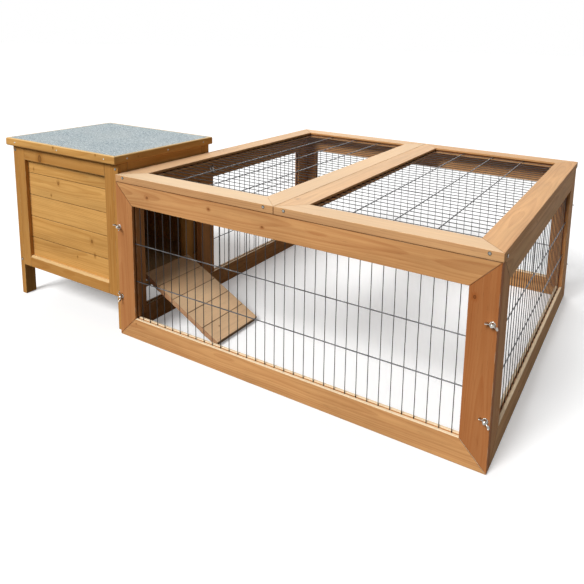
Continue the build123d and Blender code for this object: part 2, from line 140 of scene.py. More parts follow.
# Darkening in the joints, painted shade in the gaps at the lids, and painted highlights on tops and lips, as
# shares
PLANK_SEAM = 0.62
MITRE_SEAM = 0.7
LID_MITRE_SEAM = 0.45
# Painted shade in the gap under each lid and on the rail edges it rests on
UNDER_LID_PAINTED_SHADE = 1.0
LID_SEAT_PAINTED_SHADE = 0.75
# Painted highlights: upward lips, roof tops and lid tops drawn paler, more on the lid sides turned to the
# light
BOTTOM_LIP_PAINTED_HIGHLIGHT = 0.9
HUTCH_LIP_PAINTED_HIGHLIGHT = 0.5
ROOF_PAINTED_HIGHLIGHT = 0.6
LID_PAINTED_HIGHLIGHT = {"front": 0.48, "inner": 0.34, "outer": 0.16, "back": 0.24}
LEFT_LID_PAINTED_HIGHLIGHT = 0.15

# Heights in metres that tell those faces apart
SEATS_ABOVE = 0.4
RUN_LIPS_BELOW = 0.1
HUTCH_LIPS_BELOW = 0.3

# The scene's light. A lamp's place is a direction seen from the object.
KEY_PLACE = (-0.12, -0.7, 0.7)
KEY_STRENGTH = 3.45
KEY_SOFTNESS = 28
BACK_PLACE = (-0.42, 0.72, 0.42)
BACK_STRENGTH = 1.2
BACK_SOFTNESS = 40
SKY_ON_SURFACES = 0.16
SKY_SEEN = 1.0

# The floor: its glow, its colours on surfaces and as seen, and its size in metres
FLOOR_GLOW = 0.22
FLOOR_FELT = (0.15, 0.15, 0.135, 1.0)
FLOOR_SEEN = (0.86, 0.86, 0.86, 1.0)
FLOOR_RADIUS = 30.0
FLOOR_DROP = 0.0005

# The camera: millimetres for the sensor and lens, and degrees for its turn
SENSOR_WIDTH = 36.0
LENS_LENGTH = 36.22507
LENS_SHIFT = (-0.0705753, -0.2681)
NEAREST_SEEN = 0.01
CAMERA_PLACE = (1.0311, -1.5945, 0.8855)
CAMERA_TURN = (80.142, -1.469, 29.768)

X, Y, Z = 0, 1, 2
nodes = frame["nodes"]
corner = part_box("front_top_rail")[0]


def tint(code, alpha=1.0):
    """A colour written as six hexadecimal digits, made linear."""
    channels = [int(code[place:place + 2], 16) / 255 for place in (1, 3, 5)]
    linear = [c / 12.92 if c <= 0.04045 else ((c + 0.055) / 1.055) ** 2.4 for c in channels]
    return (*linear, alpha)


def plan(x, y, z):
    """A point given in millimetres from the run's front left corner on the floor."""
    return Vector((corner.x + x / 1000, corner.y + y / 1000, z / 1000))


# Materials

class Tree:
    """The node tree of a new material, with a short way to add nodes."""

    def __init__(self, name):
        self.material = bpy.data.materials.new(name)
        self.material.use_nodes = True
        self.tree = self.material.node_tree
        self.tree.nodes.clear()

    def add(self, kind, inputs=None, **settings):
        """A node with its settings. An input is a plain value or another node's output."""
        made = self.tree.nodes.new(kind)
        for key, value in settings.items():
            setattr(made, key, value)
        for key, value in (inputs or {}).items():
            if isinstance(value, bpy.types.NodeSocket):
                self.tree.links.new(value, made.inputs[key])
            else:
                made.inputs[key].default_value = value
        return made

    def read(self, name, output="Fac"):
        """A value stored on the mesh."""
        return self.add("ShaderNodeAttribute", attribute_name=name).outputs[output]

    def maths(self, operation, *values, clamp=False):
        """One sum on single numbers."""
        inputs = dict(enumerate(values))
        return self.add("ShaderNodeMath", inputs, operation=operation, use_clamp=clamp).outputs[0]

    def length(self, first, second):
        """The length of a flat vector, from its two parts."""
        squares = [self.maths("MULTIPLY", part, part) for part in (first, second)]
        return self.maths("SQRT", self.maths("ADD", *squares))

    def vector(self, operation, *values):
        """One sum on vectors."""
        made = self.add("ShaderNodeVectorMath", dict(enumerate(values)), operation=operation)
        return made.outputs["Vector"]

    def remap(self, value, low, high, to_low=0.0, to_high=1.0):
        """A value carried from one range to another, and kept inside it."""
        inputs = {"Value": value, "From Min": low, "From Max": high, "To Min": to_low, "To Max": to_high}
        return self.add("ShaderNodeMapRange", inputs, interpolation_type="SMOOTHSTEP").outputs["Result"]

    def blend(self, share, first, second, mode="MIX"):
        """Two colours mixed by a share."""
        inputs = {"Factor": share}
        made = self.add("ShaderNodeMix", inputs, data_type="RGBA", blend_type=mode)
        for key, value in ((6, first), (7, second)):
            if isinstance(value, bpy.types.NodeSocket):
                self.tree.links.new(value, made.inputs[key])
            else:
                made.inputs[key].default_value = value
        return made.outputs[2]

    def noise(self, place, scale, detail=2.0, roughness=0.5):
        """Smooth noise at a place, as a number about a half."""
        inputs = {"Vector": place, "Scale": scale, "Detail": detail, "Roughness": roughness}
        return self.add("ShaderNodeTexNoise", inputs).outputs["Fac"]

    def finish(self, shader):
        """Join the shader to the output and hand back the material."""
        out = self.add("ShaderNodeOutputMaterial")
        self.tree.links.new(shader.outputs[0], out.inputs["Surface"])
        return self.material


def wood_material(name, light, dark, cream, ruddy, knot_colour, roughness, knot_squeeze):
    """Stained softwood: growth rings around a pith line, fibres, blotches, knots and end grain.

    Each board carries its own coordinates: along the board, and across and through it from
    the pith of the tree it was cut from.
    """
    t = Tree(name)
    board = t.read("board", "Vector")
    seed = t.read("board_seed")
    shift = t.add("ShaderNodeCombineXYZ", {"X": seed, "Y": t.maths("MULTIPLY", seed, 0.37), "Z": seed})
    place = t.vector("ADD", board, shift.outputs[0])
    parts = t.add("ShaderNodeSeparateXYZ", {"Vector": board})
    along, across, through = parts.outputs[0], parts.outputs[1], parts.outputs[2]

    # Knots push the rings aside
    rings_shift = 0.0
    knot = 0.0
    halo = 0.0
    for key in ("knot_a", "knot_b", "knot_c"):
        centre = t.add("ShaderNodeSeparateXYZ", {"Vector": t.read(key, "Vector")})
        du = t.maths("MULTIPLY", t.maths("SUBTRACT", along, centre.outputs[0]), knot_squeeze)
        dv = t.maths("SUBTRACT", across, centre.outputs[1])
        gap = t.length(du, dv)
        wobble = t.maths("MULTIPLY", t.maths("SUBTRACT", t.noise(place, 190.0), 0.5), KNOT_WOBBLE)
        reach = t.maths("DIVIDE", t.maths("ADD", gap, wobble), centre.outputs[2])
        core = t.maths("MULTIPLY", t.remap(reach, 1.12, 0.86), t.remap(reach, 0.3, 0.8, 0.6, 1.0))
        near = t.remap(reach, 3.4, 0.9)
        knot = t.maths("MAXIMUM", core, knot)
        halo = t.maths("MAXIMUM", near, halo)
        push = t.maths("MULTIPLY", near, t.maths("MULTIPLY", centre.outputs[2], 0.9))
        rings_shift = t.maths("ADD", push, rings_shift)

    # Growth rings
    drift_place = t.vector("MULTIPLY", place, DRIFT_STRETCH)
    drift = t.maths("MULTIPLY", t.maths("SUBTRACT", t.noise(drift_place, 1.0, 2.0), 0.5), RING_DRIFT)
    radius = t.length(across, through)
    taper = t.maths("MULTIPLY", along, TREE_TAPER)
    warped = t.maths("ADD", t.maths("ADD", radius, drift), t.maths("ADD", taper, rings_shift))
    phase = t.maths("FRACT", t.maths("MULTIPLY", warped, RINGS))
    late = t.maths("MULTIPLY", t.remap(phase, 0.25, 0.86), t.remap(phase, 1.0, 0.93))
    year_place = t.add("ShaderNodeCombineXYZ", {"X": t.maths("MULTIPLY", warped, YEARS), "Y": seed})
    year = t.noise(year_place.outputs[0], 1.0, 1.0)
    late = t.maths("MULTIPLY", late, t.remap(year, 0.3, 0.7, 0.35, 1.0))

    # Fibres, pores and stain blotches
    fibre = t.noise(t.vector("MULTIPLY", place, FIBRE_STRETCH), 1.0, 3.0, 0.62)
    streak = t.noise(t.vector("MULTIPLY", place, STREAK_STRETCH), 1.0, 3.0, 0.55)
    blotch = t.noise(t.vector("MULTIPLY", place, BLOTCH_STRETCH), 1.0, 3.0, 0.55)
    pore = t.noise(t.vector("MULTIPLY", place, PORE_STRETCH), 1.0, 2.0, 0.5)

    streaks = t.maths("MULTIPLY", t.remap(streak, 0.28, 0.72), 0.34)
    share = t.maths("ADD", t.maths("MULTIPLY", late, 0.34), streaks)
    share = t.maths("ADD", share, t.maths("MULTIPLY", t.maths("SUBTRACT", fibre, 0.5), 0.5), clamp=True)
    colour = t.blend(share, light, dark)
    lift = t.remap(blotch, 0.3, 0.7, 0.88, 1.1)
    lifted = t.add("ShaderNodeCombineXYZ", {"X": lift, "Y": lift, "Z": lift})
    colour = t.blend(1.0, colour, lifted.outputs[0], "MULTIPLY")
    tone = t.read("board_tone")
    colour = t.blend(t.maths("MAXIMUM", tone, 0.0), colour, cream)
    colour = t.blend(t.maths("MAXIMUM", t.maths("MULTIPLY", tone, -1.0), 0.0), colour, ruddy)
    pores = t.maths("MULTIPLY", t.remap(pore, 0.62, 0.76), 0.3)
    colour = t.blend(pores, colour, knot_colour)

    # End grain, worn edges and knots, then darker joints with painted shade in the lid gaps, and painted
    # highlights on tops and lips
    ends = t.remap(t.read("end_grain"), 0.8, 0.9)
    end_share = t.maths("MULTIPLY", ends, t.maths("ADD", t.maths("MULTIPLY", late, 0.5), 0.32))
    colour = t.blend(end_share, colour, ruddy)
    worn = t.maths("MULTIPLY", t.read("rounded"), t.remap(t.noise(place, 34.0, 3.0), 0.45, 0.7, 0.0, 0.3))
    colour = t.blend(worn, colour, cream)
    colour = t.blend(t.maths("MULTIPLY", halo, 0.42), colour, ruddy)
    colour = t.blend(t.maths("MULTIPLY", knot, 0.62), colour, knot_colour)
    # Joints drawn darker, and painted shade in the gaps under the lids
    seam_and_gap_shade = t.read("seam_and_gap_shade")
    colour = t.blend(t.maths("MULTIPLY", seam_and_gap_shade, 0.85), colour, knot_colour)
    # Painted highlight on tops and lips
    colour = t.blend(t.read("painted_highlight"), colour, cream)

    height = t.maths("ADD", t.maths("MULTIPLY", late, -0.35), t.maths("MULTIPLY", fibre, 0.8))
    height = t.maths("SUBTRACT", height, t.maths("MULTIPLY", knot, 0.4))
    bump = t.add("ShaderNodeBump", {"Height": height, "Strength": 0.45, "Distance": 0.00035})
    rough = t.remap(fibre, 0.25, 0.75, roughness - 0.07, roughness + 0.1)
    rough = t.maths("ADD", rough, t.maths("MULTIPLY", ends, 0.2))
    shine = t.maths("MULTIPLY", t.maths("SUBTRACT", 1.0, seam_and_gap_shade), 0.07)
    shader = t.add("ShaderNodeBsdfPrincipled", {
        "Base Color": colour,
        "Roughness": rough,
        "Specular IOR Level": shine,
        "Normal": bump.outputs[0],
    })
    return t.finish(shader)


def wire_material():
    """Dark coated steel wire: satin, a little uneven, and brighter on the thick wires."""
    t = Tree("coated_wire")
    place = t.add("ShaderNodeTexCoord").outputs["Object"]
    patchy = t.noise(place, 26.0, 3.0)
    fine = t.noise(place, 900.0, 2.0)
    thick = t.read("thick")
    dark = t.blend(t.remap(patchy, 0.35, 0.7), tint("#12100f"), tint("#231f1c"))
    bright = t.blend(t.remap(patchy, 0.35, 0.7), tint("#4a4a4b"), tint("#707071"))
    colour = t.blend(thick, dark, bright)
    rough = t.remap(patchy, 0.3, 0.7, 0.3, 0.46)
    bump = t.add("ShaderNodeBump", {"Height": fine, "Strength": 0.25, "Distance": 0.0002})
    shader = t.add("ShaderNodeBsdfPrincipled", {
        "Base Color": colour,
        "Metallic": t.maths("MULTIPLY", thick, 0.6),
        "Roughness": rough,
        "Specular IOR Level": 0.3,
        "Normal": bump.outputs[0],
    })
    return t.finish(shader)


def zinc_material():
    """Zinc-plated steel with a slightly cloudy finish."""
    t = Tree("zinc")
    place = t.add("ShaderNodeTexCoord").outputs["Object"]
    cloud = t.noise(place, 160.0, 4.0, 0.6)
    fine = t.noise(place, 1500.0, 2.0)
    colour = t.blend(t.remap(cloud, 0.3, 0.7), tint("#93918b"), tint("#c9c8c3"))
    # Painted dark reflection round the rim of each screw head
    colour = t.blend(t.read("painted_dark_rim"), colour, tint("#454339"))
    rough = t.remap(cloud, 0.3, 0.7, 0.2, 0.36)
    bump = t.add("ShaderNodeBump", {"Height": fine, "Strength": 0.2, "Distance": 0.0001})
    shader = t.add("ShaderNodeBsdfPrincipled", {
        "Base Color": colour,
        "Metallic": 1.0,
        "Roughness": rough,
        "Normal": bump.outputs[0],
    })
    return t.finish(shader)


def felt_material():
    """Mineral roofing felt: grey-blue slate granules pressed into bitumen."""
    t = Tree("mineral_felt")
    place = t.add("ShaderNodeTexCoord").outputs["Object"]
    cell = t.add("ShaderNodeTexVoronoi", {"Vector": place, "Scale": 620.0}, feature="F1")
    grain = t.add("ShaderNodeSeparateColor", {"Color": cell.outputs["Color"]})
    patch = t.noise(place, 9.0, 4.0, 0.6)
    clump = t.noise(place, 190.0, 2.0, 0.7)
    colour = t.blend(grain.outputs[0], tint("#7b8b95"), tint("#bcc8cb"))
    colour = t.blend(t.remap(clump, 0.56, 0.68, 0.0, 0.75), colour, tint("#dde3e1"))
    colour = t.blend(t.remap(clump, 0.44, 0.32, 0.0, 0.75), colour, tint("#52616b"))
    pale = t.remap(grain.outputs[1], 0.86, 0.9)
    colour = t.blend(t.maths("MULTIPLY", pale, 0.75), colour, tint("#dfe3de"))
    deep = t.remap(grain.outputs[2], 0.88, 0.92)
    colour = t.blend(t.maths("MULTIPLY", deep, 0.8), colour, tint("#55636d"))
    colour = t.blend(t.remap(patch, 0.35, 0.75, 0.0, 0.3), colour, tint("#c3c8c3"))
    height = t.maths("SUBTRACT", 1.0, t.maths("MULTIPLY", cell.outputs["Distance"], 1.2))
    height = t.maths("ADD", height, t.maths("MULTIPLY", grain.outputs[0], 0.5))
    bump = t.add("ShaderNodeBump", {"Height": height, "Strength": 0.7, "Distance": 0.0007})
    shader = t.add("ShaderNodeBsdfPrincipled", {
        "Base Color": colour,
        "Roughness": 0.86,
        "Normal": bump.outputs[0],
    })
    return t.finish(shader)


def floor_material():
    """A plain pale floor. What the object gets back from it is darker than what is seen."""
    t = Tree("pale_floor")
    seen = t.add("ShaderNodeLightPath")
    share = t.maths("ADD", seen.outputs["Is Camera Ray"], seen.outputs["Is Glossy Ray"])
    share = t.maths("ADD", share, seen.outputs["Is Transmission Ray"], clamp=True)
    colour = t.blend(share, FLOOR_FELT, FLOOR_SEEN)
    shader = t.add("ShaderNodeBsdfDiffuse", {"Color": colour})
    glow = t.add("ShaderNodeEmission", {"Strength": t.maths("MULTIPLY", share, FLOOR_GLOW)})
    return t.finish(t.add("ShaderNodeAddShader", {0: shader.outputs[0], 1: glow.outputs[0]}))


# Meshes

class Shell:
    """Points and faces gathered for one piece, with the values stored on them."""

    def __init__(self):
        self.points = []
        self.faces = []
        self.point_values = {}
        self.face_values = {}

    def take(self, bm, point_values=None, face_values=None):
        """Add a bmesh and free it. Values are given by a function of a vertex or a face."""
        start = len(self.points)
        bm.verts.index_update()
        self.points += [tuple(v.co) for v in bm.verts]
        self.faces += [tuple(start + v.index for v in f.verts) for f in bm.faces]
        for key, function in (point_values or {}).items():
            self.point_values.setdefault(key, []).extend(function(v) for v in bm.verts)
        for key, function in (face_values or {}).items():
            self.face_values.setdefault(key, []).extend(function(f) for f in bm.faces)
        bm.free()

    def build(self, name, material, smooth=None):
        """Make the piece's object. smooth is the angle, in degrees, that stays a sharp edge."""
        mesh = bpy.data.meshes.new(name)
        mesh.from_pydata(self.points, [], self.faces)
        for values, domain in ((self.point_values, "POINT"), (self.face_values, "FACE")):
            for key, items in values.items():
                if isinstance(items[0], (float, int)):
                    layer = mesh.attributes.new(key, "FLOAT", domain)
                    layer.data.foreach_set("value", [float(item) for item in items])
                else:
                    layer = mesh.attributes.new(key, "FLOAT_VECTOR", domain)
                    layer.data.foreach_set("vector", [part for item in items for part in item])
        mesh.materials.append(material)
        if smooth is not None:
            mesh.shade_smooth()
            mesh.set_sharp_from_angle(angle=math.radians(smooth))
        obj = bpy.data.objects.new(name, mesh)
        bpy.context.scene.collection.objects.link(obj)
        return obj


def dress(obj, node):
    """The piece stands for a CAD node and moves with its body, and the node's solid is hidden."""
    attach(obj, nodes[node]["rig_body"])
    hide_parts(node)
    return obj


def solids(node):
    """The separate closed solids of a node, each as a clean bmesh with flat faces joined up."""
    mesh = nodes[node].data
    keys = [tuple(round(c * 1e6) for c in v.co) for v in mesh.vertices]
    unmatched = set()
    polygons = []
    made = []
    for polygon in mesh.polygons:
        loop = [keys[index] for index in polygon.vertices]
        for edge in zip(loop, loop[1:] + loop[:1]):
            if edge[::-1] in unmatched:
                unmatched.remove(edge[::-1])
            else:
                unmatched.add(edge)
        polygons.append([tuple(mesh.vertices[index].co) for index in polygon.vertices])
        if not unmatched:
            made.append(joined(polygons))
            polygons = []
    return made


def joined(polygons):
    """A bmesh of polygons given by their corners, with shared points and flat faces merged."""
    bm = bmesh.new()
    for points in polygons:
        bm.faces.new([bm.verts.new(point) for point in points])
    bmesh.ops.remove_doubles(bm, verts=bm.verts, dist=WELD_GAP)
    bmesh.ops.dissolve_limit(bm, angle_limit=math.radians(1), verts=bm.verts, edges=bm.edges)
    bmesh.ops.recalc_face_normals(bm, faces=bm.faces)
    return bm


def extent(bm):
    """The lowest and highest corner of a bmesh."""
    low = Vector(min(v.co[axis] for v in bm.verts) for axis in range(3))
    high = Vector(max(v.co[axis] for v in bm.verts) for axis in range(3))
    return low, high


def round_edges(bm, radius, segments, chosen=None):
    """Round the long convex edges, or the chosen ones, and mark the new faces."""
    mark = bm.faces.layers.int.get("rounded") or bm.faces.layers.int.new("rounded")
    edges = []
    for edge in bm.edges:
        if len(edge.link_faces) != 2 or edge.calc_length() < SHORTEST_ROUNDED:
            continue
        if edge.calc_face_angle() < math.radians(25) or not edge.is_convex:
            continue
        if chosen is None or chosen(edge):
            edges.append(edge)
    made = bmesh.ops.bevel(
        bm, geom=edges, offset=radius, offset_type="OFFSET", segments=segments,
        profile=0.5, affect="EDGES", clamp_overlap=False,
    )
    for face in made["faces"]:
        face[mark] = 1


def board_axes(low, high):
    """Along, across and through a board, as the longest, middle and shortest side of its box."""
    size = high - low
    order = sorted(range(3), key=lambda axis: -size[axis])
    return [Vector([float(axis == place) for place in range(3)]) for axis in order]


def seam_and_gap_shade_share(node, face, rounded, along, through):
    """How dark a face is drawn at a joint: plank and mitre joints are darker, and painted shade lies in the
    gaps under the lids and on the rails they rest on.
    """
    ends = abs(face.normal.dot(along))
    if "planks" in node:
        return PLANK_SEAM * (abs(face.normal.dot(through)) < 0.95 and ends < 0.9)
    if 0.15 < ends < 0.65:
        return LID_MITRE_SEAM if "lid" in node else MITRE_SEAM
    # Painted shade on the rounded edges beside the gap between a lid and its rail
    if "lid" in node and rounded and face.normal.z < -0.2:
        return UNDER_LID_PAINTED_SHADE
    if node in LID_SEATS and rounded and face.normal.z > 0.2 and face.calc_center_median().z > SEATS_ABOVE:
        return LID_SEAT_PAINTED_SHADE
    return 0.0


def painted_highlight_share(node, face):
    """How much painted highlight a face gets: upward faces of the lid and roof tops and of the bottom rails'
    lips, drawn paler where light falls on them.
    """
    height = face.calc_center_median().z
    if node in GROOVED_BELOW and face.normal.z > 0.3 and height < RUN_LIPS_BELOW:
        return BOTTOM_LIP_PAINTED_HIGHLIGHT
    if node == "hutch_front_frame" and face.normal.z > 0.3 and height < HUTCH_LIPS_BELOW:
        return HUTCH_LIP_PAINTED_HIGHLIGHT
    if node.startswith("roof_") and face.normal.z > 0.5:
        return ROOF_PAINTED_HIGHLIGHT
    if "lid" in node and face.normal.z > 0.5:
        hand, _, side, _ = node.split("_")
        return LID_PAINTED_HIGHLIGHT[side] + (LEFT_LID_PAINTED_HIGHLIGHT if hand == "left" else 0.0)
    return 0.0


def wood_piece(node, material, edge=BOARD_EDGE, tone=0.0, axes=None, wild_knots=0.5, shapes=None):
    """Dress the boards of a node: rounded edges, and each board with wood of its own."""
    shell = Shell()
    for index, bm in enumerate(shapes or solids(node)):
        chance = random.Random(f"{node} {index}")
        low, high = extent(bm)
        centre = (low + high) / 2
        along, across, through = axes or board_axes(low, high)
        reach = [abs((high - low).dot(axis)) for axis in (along, across, through)]
        pith_across = chance.uniform(-0.4, 0.4) * reach[1]
        pith_through = chance.choice((-1, 1)) * chance.uniform(*PITH_DEPTHS)
        if shapes is None:
            round_edges(bm, edge, 2)

        def inside(point, along=along, across=across, through=through, centre=centre,
                   pith_across=pith_across, pith_through=pith_through):
            """A point in the board's own coordinates, from the pith."""
            from_centre = point - centre
            return (
                from_centre.dot(along),
                from_centre.dot(across) + pith_across,
                from_centre.dot(through) + pith_through,
            )

        knots = []
        for place, radius in KNOTS.get(node, ()):
            point = plan(*place)
            if all(low[axis] - KNOT_MARGIN < point[axis] < high[axis] + KNOT_MARGIN for axis in range(3)):
                knots.append((*inside(point)[:2], radius / 1000))
        while not knots and chance.random() < wild_knots * reach[0]:
            u = chance.uniform(-0.45, 0.45) * reach[0]
            v = chance.uniform(-0.36, 0.36) * reach[1] + pith_across
            knots.append((u, v, chance.uniform(*WILD_KNOT_RADII)))
        knots = (knots + [NO_KNOT] * 3)[:3]
        board_seed = chance.uniform(-6.0, 6.0)
        board_tone = tone + chance.uniform(-1, 1) * (PLANK_TONES if "plank" in node else BOARD_TONES)
        mark = bm.faces.layers.int.get("rounded") or bm.faces.layers.int.new("rounded")
        point_values = {
            "board": lambda v: inside(v.co),
            "board_seed": lambda v: board_seed,
            "board_tone": lambda v: board_tone,
        }
        for key, knot in zip(("knot_a", "knot_b", "knot_c"), knots):
            point_values[key] = lambda v, knot=knot: knot
        face_values = {
            "end_grain": lambda f: abs(f.normal.dot(along)),
            "rounded": lambda f: float(f[mark]),
            "seam_and_gap_shade": lambda f: float(seam_and_gap_shade_share(node, f, f[mark], along, through)),
            "painted_highlight": lambda f: painted_highlight_share(node, f),
        }
        shell.take(bm, point_values, face_values)
    return dress(shell.build(node + "_boards", material), node)


def bridge(bm, first, second):
    """Faces between two closed loops with the same number of points."""
    for step in range(len(first)):
        follow = (step + 1) % len(first)
        bm.faces.new((first[step], first[follow], second[follow], second[step]))


def tube(bm, start, end, radius, sides, rings, sway, chance):
    """A round wire between two points, closed at its ends and very slightly uneven."""
    direction = (end - start).normalized()
    side = direction.orthogonal().normalized()
    other = direction.cross(side)
    loops = []
    for ring in range(rings + 1):
        share = ring / rings
        loose = sway * math.sin(math.pi * share)
        centre = start.lerp(end, share)
        centre = centre + side * chance.uniform(-loose, loose) + other * chance.uniform(-loose, loose)
        loop = []
        for step in range(sides):
            angle = 2 * math.pi * step / sides
            loop.append(bm.verts.new(centre + radius * (math.cos(angle) * side + math.sin(angle) * other)))
        loops.append(loop)
    for first, second in zip(loops, loops[1:]):
        bridge(bm, first, second)
    bm.faces.new(loops[0][::-1])
    bm.faces.new(loops[-1])


def weld(bm, centre, chance):
    """The small lump where two wires are welded."""
    turn = Matrix.Rotation(chance.uniform(0, math.pi), 4, "Z")
    scale = Matrix.Diagonal((*[WELD_RADIUS * chance.uniform(0.9, 1.1) for _ in range(3)], 1.0))
    matrix = Matrix.Translation(centre) @ turn @ scale
    bmesh.ops.create_icosphere(bm, subdivisions=1, radius=1.0, matrix=matrix)


def mesh_piece(node, material, fine_axis, thick_axis, thick_count, outward):
    """Welded mesh: fine wires at an even pitch, and thick wires welded to their outside."""
    low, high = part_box(node)
    chance = random.Random(node)
    shell = Shell()
    normal = Vector(outward)
    axis = [abs(part) for part in outward].index(1)
    middle = (low[axis] + high[axis]) / 2
    fine_place = middle - outward[axis] * THICK_WIRE / 2
    thick_place = middle + outward[axis] * FINE_WIRE / 2
    length = high[thick_axis] - low[thick_axis]
    pairs = int((length / 2 - FINE_WIRE) / WIRE_PITCH)
    centre = (low[thick_axis] + high[thick_axis]) / 2
    fine_spots = [centre + index * WIRE_PITCH for index in range(-pairs, pairs + 1)]
    opening = (low[fine_axis] + MESH_BITE, high[fine_axis] - MESH_BITE)
    shares = [(index + 1) / (thick_count + 1) for index in range(thick_count)]
    thick_spots = [opening[0] + share * (opening[1] - opening[0]) for share in shares]

    def point(fine, thick, place):
        """A point from its places along the fine wires, along the thick ones and outwards."""
        made = Vector((0, 0, 0))
        made[fine_axis] = fine
        made[thick_axis] = thick
        made[axis] = place
        return made

    def keep(bm, value):
        """Add wires to the piece, marked as thick or fine."""
        shell.take(bm, {"thick": lambda v: value})

    fine = bmesh.new()
    for spot in fine_spots:
        ends = (point(low[fine_axis], spot, fine_place), point(high[fine_axis], spot, fine_place))
        tube(fine, *ends, FINE_WIRE / 2, 8, 9, FINE_SWAY, chance)
    keep(fine, 0.0)
    thick = bmesh.new()
    for spot in thick_spots:
        ends = (point(spot, low[thick_axis], thick_place), point(spot, high[thick_axis], thick_place))
        tube(thick, *ends, THICK_WIRE / 2, 10, 16, THICK_SWAY, chance)
        for crossing in fine_spots:
            touch = point(spot, crossing, middle - outward[axis] * (THICK_WIRE - FINE_WIRE) / 2)
            weld(thick, touch - normal * WELD_SINK, chance)
    keep(thick, 1.0)
    piece = shell.build(node + "_wires", material, smooth=50)
    return dress(piece, node)


def lathe(bm, profile, matrix, sides=24):
    """A turned shape from (radius, height) pairs that start and end on the axis."""
    loops = []
    for radius, height in profile:
        if radius == 0:
            loops.append([bm.verts.new(matrix @ Vector((0, 0, height)))])
            continue
        loop = []
        for step in range(sides):
            angle = 2 * math.pi * step / sides
            point = Vector((radius * math.cos(angle), radius * math.sin(angle), height))
            loop.append(bm.verts.new(matrix @ point))
        loops.append(loop)
    for first, second in zip(loops, loops[1:]):
        if len(first) == len(second):
            bridge(bm, first, second)
            continue
        for step in range(sides):
            follow = (step + 1) % sides
            if len(first) == 1:
                bm.faces.new((first[0], second[follow], second[step]))
            else:
                bm.faces.new((first[step], first[follow], second[0]))


def standing(point, outward, turn=0.0):
    """The place of a fitting whose own +Z points out of the surface."""
    upright = Vector(outward).to_track_quat("Z", "Y").to_matrix().to_4x4()
    return Matrix.Translation(point) @ upright @ Matrix.Rotation(turn, 4, "Z")


def heads(node):
    """Where each screw or nail of a node stands: the middle of its outer face, and outwards."""
    found = []
    for bm in solids(node):
        low, high = extent(bm)
        size = high - low
        axis = max(range(3), key=lambda place: size[place])
        others = [place for place in range(3) if place != axis]
        centre = (low + high) / 2
        spread = {}
        for v in bm.verts:
            side = v.co[axis] > centre[axis]
            gap = math.hypot(*(v.co[place] - centre[place] for place in others))
            spread[side] = max(spread.get(side, 0.0), gap)
        outer = spread[True] > spread[False]
        point = centre.copy()
        point[axis] = high[axis] if outer else low[axis]
        outward = Vector((0, 0, 0))
        outward[axis] = 1.0 if outer else -1.0
        found.append((point, outward, size[axis]))
        bm.free()
    return found


def screw_head(bm, matrix, radius, height, sides=24):
    """A flat round screw head with a cross sunk into it. Its outer face is at height 0."""
    part = bmesh.new()
    loops = []
    for share, drop in ((1.0, height), (1.0, 0.0004), (0.84, 0.0)):
        reach = share * radius
        loop = []
        for step in range(sides):
            angle = 2 * math.pi * step / sides
            loop.append(part.verts.new((reach * math.cos(angle), reach * math.sin(angle), -drop)))
        loops.append(loop)
    arm = CROSS_REACH * radius
    half = CROSS_HALF * radius
    quarter = [(arm, -half), (arm, half), (half, half)]
    outline = []
    for turn in range(4):
        spin = Matrix.Rotation(turn * math.pi / 2, 2)
        outline += [spin @ Vector(point) for point in quarter]
    rim = [part.verts.new((*point, 0)) for point in outline]
    bed = [part.verts.new((*(point * 0.7), -CROSS_DEPTH)) for point in outline]
    fill = [part.edges.new(pair) for loop in (loops[-1], rim) for pair in zip(loop, loop[1:] + loop[:1])]
    bmesh.ops.triangle_fill(part, edges=fill, use_beauty=True)
    for first, second in (*zip(loops, loops[1:]), (rim, bed)):
        bridge(part, first, second)
    part.faces.new(loops[0])
    part.faces.new(bed)
    bmesh.ops.recalc_face_normals(part, faces=part.faces)
    bmesh.ops.transform(part, matrix=matrix, verts=part.verts)
    merge(bm, part)


def screw_piece(node, material):
    """Flat-headed screws with a cross recess, with a painted dark reflection round the rim."""
    shell = Shell()
    chance = random.Random(node)
    for point, outward, length in heads(node):
        bm = bmesh.new()
        matrix = standing(point, outward, chance.uniform(0, math.pi))
        screw_head(bm, matrix, SCREW_HEAD, SCREW_HEIGHT)
        shank = [(0, -length), (0.0004, -length), (SHANK_RADIUS, -length + 0.006)]
        shank += [(SHANK_RADIUS, -0.001), (0, -0.001)]
        lathe(bm, shank, matrix, 12)
        inverse = matrix.inverted()
        # The outer ring of each head takes the painted dark reflection
        shell.take(bm, {"painted_dark_rim": lambda v: float((inverse @ v.co).xy.length > 0.75 * SCREW_HEAD)})
    return dress(shell.build(node + "_set", material, smooth=35), node)


def nail_piece(node, material):
    """Round-headed nails."""
    shell = Shell()
    for point, outward, length in heads(node):
        bm = bmesh.new()
        matrix = standing(point, outward)
        profile = [(0, -0.001), (0.0023, -0.001), (0.0024, -0.0007), (0.002, -0.0002), (0.0011, 0), (0, 0)]
        lathe(bm, profile, matrix, 20)
        shank = [(0, -length), (0.0009, -length + 0.002), (0.0009, -0.001), (0, -0.001)]
        lathe(bm, shank, matrix, 10)
        shell.take(bm)
    return dress(shell.build(node + "_set", material, smooth=40), node)


